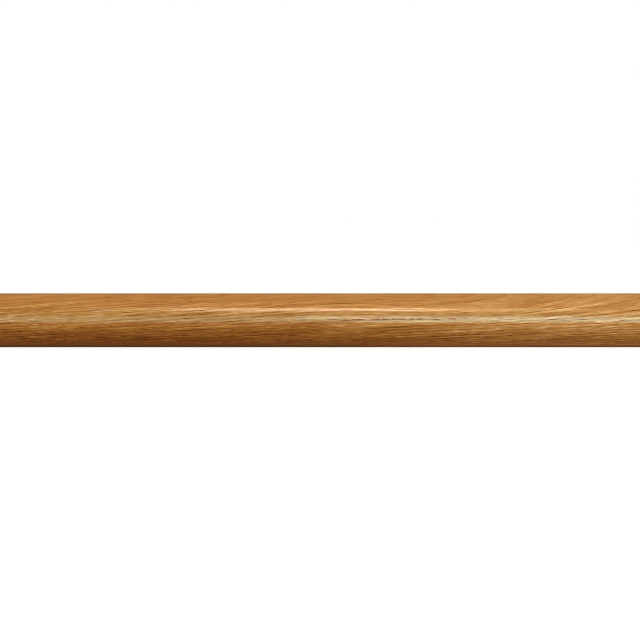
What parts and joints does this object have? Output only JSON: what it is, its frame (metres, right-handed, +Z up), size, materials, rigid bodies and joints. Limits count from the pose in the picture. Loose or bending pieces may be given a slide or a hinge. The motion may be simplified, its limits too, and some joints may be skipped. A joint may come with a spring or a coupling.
{
  "type": "stair handrail length",
  "caption": "Straight round timber stair handrail with a narrow flat along its underside for wall brackets, eased edges and square-sawn ends.",
  "frame": {"origin": "middle of the bracket flat, halfway along the rail, on the surface it lies on", "axes": "+X along the rail, +Z up from the flat through the middle of the round"},
  "size_m": [1.2, 0.054, 0.0509],
  "materials": {
    "lacquered_oak": "clear gloss lacquer"
  },
  "bodies": {
    "root": {"handrail": "lacquered_oak"}
  },
  "joints": []
}
